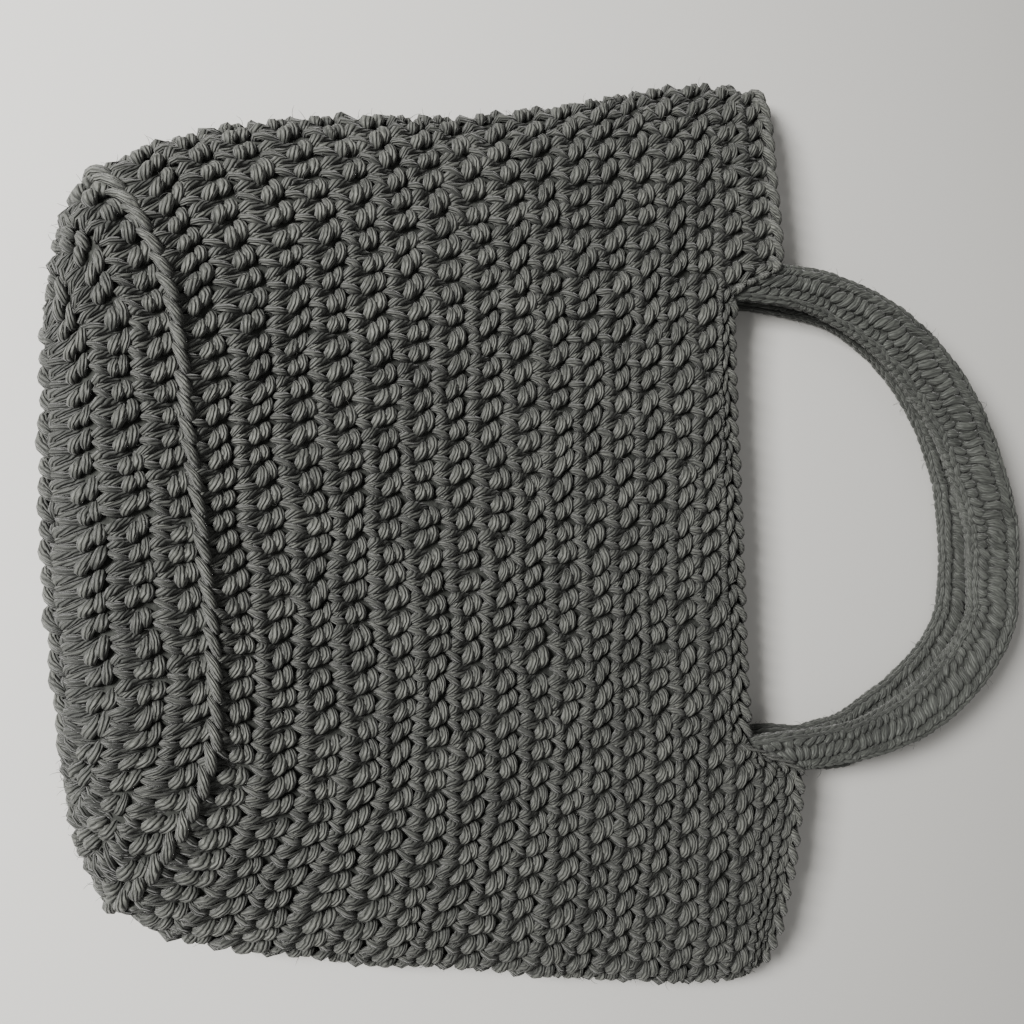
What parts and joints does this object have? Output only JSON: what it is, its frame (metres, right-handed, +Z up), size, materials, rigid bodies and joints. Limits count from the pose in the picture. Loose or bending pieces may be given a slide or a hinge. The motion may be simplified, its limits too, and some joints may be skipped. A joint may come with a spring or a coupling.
{
  "type": "crochet handbag",
  "caption": "Soft crochet handbag with a folded oval base, lying flat on its back, its crochet strap handles one over the other beyond its mouth.",
  "frame": {"origin": "under the middle of the whole bag, on the surface that it lies on", "axes": "+X across the bag, +Y from the folded base towards the handles, +Z up from the surface through the back and then the front of the bag"},
  "size_m": [0.334, 0.3792, 0.0307],
  "materials": {
    "body_yarn": "soft plied yarn in crochet stitches, dull with a faint sheen along the plies",
    "edge_yarn": "the same yarn laid in a chain, a little paler where its strands face up",
    "handle_yarn": "the same yarn in tighter, smaller stitches"
  },
  "bodies": {
    "root": {"wall": "body_yarn", "base": "body_yarn", "base_ridge": "edge_yarn", "mouth_braid_front": "edge_yarn", "mouth_braid_back": "edge_yarn", "front_handle": "handle_yarn", "back_handle": "handle_yarn"}
  },
  "joints": []
}
